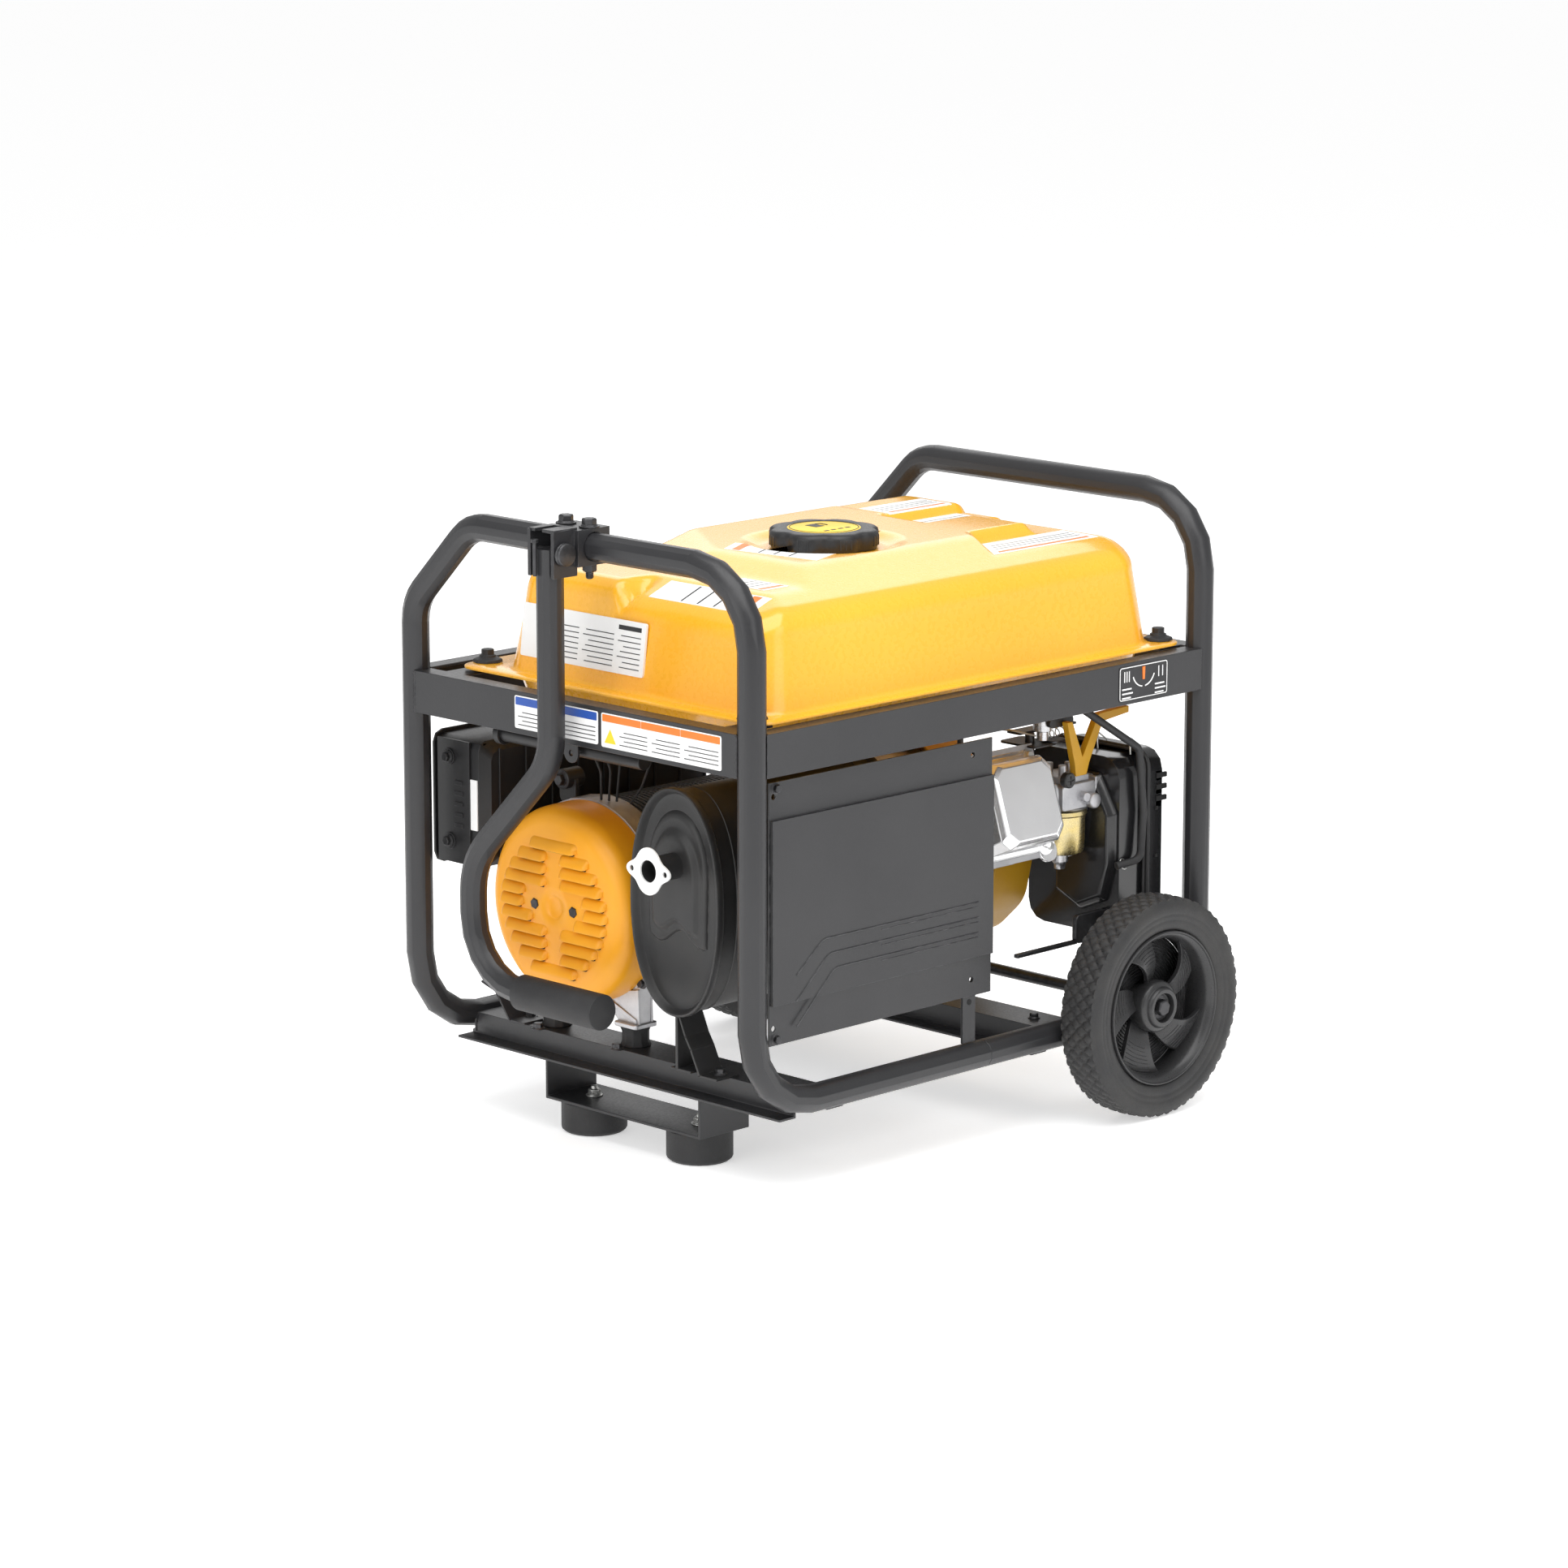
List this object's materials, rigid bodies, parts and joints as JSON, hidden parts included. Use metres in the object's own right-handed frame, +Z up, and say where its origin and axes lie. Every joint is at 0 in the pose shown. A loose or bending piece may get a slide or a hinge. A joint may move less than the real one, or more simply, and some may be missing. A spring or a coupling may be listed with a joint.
{
  "type": "portable generator",
  "caption": "Open-frame engine generator: tube frame, yellow tank on top, silencer with heat shield, alternator and socket panel below, wheels at one end and a folding pull handle at the other",
  "frame": {"origin": "Centre of the footprint box, on the ground", "axes": "+X points to the wheel end, -X to the pull handle, +Y to the control panel, -Y to the silencer's heat shield, +Z up"},
  "size_m": [0.7165, 0.61, 0.64],
  "materials": {
    "black_plastic": "matte",
    "black_rubber": "matte",
    "bolt_steel": "blackened",
    "bright_steel": "satin",
    "cast_aluminium": "cast",
    "chrome": "polished",
    "frame_paint": "satin",
    "muffler_paint": "matte",
    "stator_paint": "satin",
    "switch_red": "gloss",
    "tank_paint": "gloss",
    "tyre_rubber": "matte",
    "yellow_plastic": "satin"
  },
  "bodies": {
    "frame": {"air_cleaner_base": "black_plastic", "air_cleaner_cover": "black_plastic", "alternator_cover": "yellow_plastic", "alternator_mount_muffler_side": "black_rubber", "alternator_mount_panel_side": "black_rubber", "axle": "bolt_steel", "axle_bracket_muffler_side": "frame_paint", "axle_bracket_panel_side": "frame_paint", "carburettor": "cast_aluminium", "control_panel_face": "black_plastic", "control_panel_housing": "black_plastic", "crankcase": "cast_aluminium", "crossmember_handle_end": "frame_paint", "crossmember_wheel_end": "frame_paint", "cylinder": "cast_aluminium", "drive_housing": "cast_aluminium", "duplex_outlet": "black_plastic", "end_bell": "cast_aluminium", "engine_mount_muffler_side": "black_rubber", "engine_mount_panel_side": "black_rubber", "fan_shroud": "yellow_plastic", "foot_bracket": "frame_paint", "frame_hoop_handle_end": "frame_paint", "frame_hoop_wheel_end": "frame_paint", "fuel_tank": "tank_paint", "fuel_valve": "bright_steel", "handle_bracket": "frame_paint", "handle_pivot_pin": "bolt_steel", "heat_shield": "frame_paint", "muffler": "muffler_paint", "recoil_cover": "black_plastic", "rubber_foot_muffler_side": "black_rubber", "rubber_foot_panel_side": "black_rubber", "stator": "stator_paint", "tank_bolt_1": "black_rubber", "tank_bolt_2": "black_rubber", "tank_bolt_3": "black_rubber", "tank_bolt_4": "black_rubber", "tank_rail_handle_end": "frame_paint", "tank_rail_muffler_side": "frame_paint", "tank_rail_panel_side": "frame_paint", "tank_rail_wheel_end": "frame_paint", "twist_outlet": "black_plastic", "valve_cover": "chrome"},
    "handle": {"handle_tube": "frame_paint", "handle_grip": "black_rubber"},
    "latch_pin": {"handle_latch_pin": "bolt_steel"},
    "wheel_muffler_side": {"wheel_rim_muffler_side": "black_plastic", "tyre_muffler_side": "tyre_rubber"},
    "wheel_panel_side": {"wheel_rim_panel_side": "black_plastic", "tyre_panel_side": "tyre_rubber"},
    "crank_train": {"crankshaft": "bright_steel", "rotor": "bright_steel", "flywheel": "cast_aluminium"},
    "fuel_cap": {"fuel_cap": "black_plastic"},
    "fuel_valve_lever": {"fuel_valve_lever": "black_plastic"},
    "choke_lever": {"choke_lever": "yellow_plastic"},
    "recoil_grip": {"recoil_grip": "black_rubber"},
    "engine_switch": {"engine_switch": "switch_red"},
    "breaker_button": {"breaker_button": "black_plastic"}
  },
  "joints": [
    {"name": "handle_fold", "type": "hinge", "parent": "frame", "child": "handle", "pos_m": [-0.3385, 0, 0.616], "axis": [0, 1, 0], "range_deg": [0, 90]},
    {"name": "latch_slide", "type": "slide", "parent": "handle", "child": "latch_pin", "axis": [0, 0, -1], "range_m": [0, 0.006], "stiffness_N_per_m": 300, "springref_m": -0.002},
    {"name": "wheel_spin_muffler_side", "type": "hinge", "parent": "frame", "child": "wheel_muffler_side", "pos_m": [0.2279, -0.281, 0.1143], "axis": [0, 1, 0], "continuous": true},
    {"name": "wheel_spin_panel_side", "type": "hinge", "parent": "frame", "child": "wheel_panel_side", "pos_m": [0.2279, 0.281, 0.1143], "axis": [0, 1, 0], "continuous": true},
    {"name": "crankshaft_spin", "type": "hinge", "parent": "frame", "child": "crank_train", "pos_m": [0.1215, 0.072, 0.24], "axis": [1, 0, 0], "continuous": true},
    {"name": "fuel_cap_turn", "type": "hinge", "parent": "frame", "child": "fuel_cap", "pos_m": [0.0095, -0.029, 0.5908], "axis": [0, 0, 1], "range_deg": [0, 90]},
    {"name": "fuel_valve_turn", "type": "hinge", "parent": "frame", "child": "fuel_valve_lever", "pos_m": [0.1895, -0.1753, 0.398], "axis": [0, 1, 0], "range_deg": [0, 90]},
    {"name": "choke_turn", "type": "hinge", "parent": "frame", "child": "choke_lever", "pos_m": [0.2225, -0.185, 0.344], "axis": [0, 0, 1], "range_deg": [0, 60]},
    {"name": "recoil_pull", "type": "slide", "parent": "frame", "child": "recoil_grip", "axis": [1, 0, 0], "range_m": [0, 0.6], "stiffness_N_per_m": 20, "springref_m": -0.1},
    {"name": "engine_switch_rock", "type": "hinge", "parent": "frame", "child": "engine_switch", "pos_m": [-0.2135, 0.2457, 0.342], "axis": [1, 0, 0], "range_deg": [0, 12]},
    {"name": "breaker_press", "type": "slide", "parent": "frame", "child": "breaker_button", "axis": [0, -1, 0], "range_m": [0, 0.004], "stiffness_N_per_m": 500}
  ]
}
